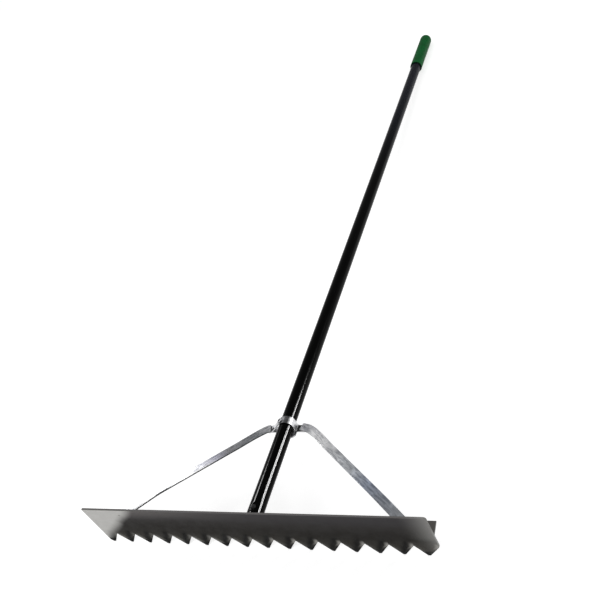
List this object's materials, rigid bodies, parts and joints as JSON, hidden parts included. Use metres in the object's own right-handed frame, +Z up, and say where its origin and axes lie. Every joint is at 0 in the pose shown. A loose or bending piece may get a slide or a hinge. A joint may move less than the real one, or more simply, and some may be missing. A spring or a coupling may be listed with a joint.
{
  "type": "lute rake",
  "caption": "Long-handled lute rake with a wide toothed head plate, a tubular handle with a moulded grip and two flat braces from the plate to a clamp.",
  "frame": {"origin": "middle of the bounding box in plan, on the floor that the tooth tips and the grip rest on", "axes": "+X along the head, +Y from the head along the handle to the grip, +Z up with the teeth pointing down"},
  "size_m": [0.6096, 1.7864, 0.1085],
  "materials": {
    "dark_steel": "satin charcoal, lightly scuffed",
    "gloss_black": "glossy black coating",
    "bright_metal": "bright mill finish",
    "green_sleeve": "satin green moulding",
    "black_steel": "blackened steel"
  },
  "bodies": {
    "root": {"toothed_head": "dark_steel", "handle_tube": "gloss_black", "grip": "green_sleeve", "left_brace": "bright_metal", "right_brace": "bright_metal", "upper_clamp": "bright_metal", "lower_clamp": "bright_metal", "clamp_screw": "bright_metal", "left_clamp_bolt": "bright_metal", "right_clamp_bolt": "bright_metal", "left_clamp_nut": "bright_metal", "right_clamp_nut": "bright_metal", "left_foot_bolt": "bright_metal", "right_foot_bolt": "bright_metal", "left_foot_nut": "bright_metal", "right_foot_nut": "bright_metal", "front_handle_bolt": "black_steel", "front_handle_nut": "black_steel", "rear_handle_bolt": "black_steel", "rear_handle_nut": "black_steel"}
  },
  "joints": []
}
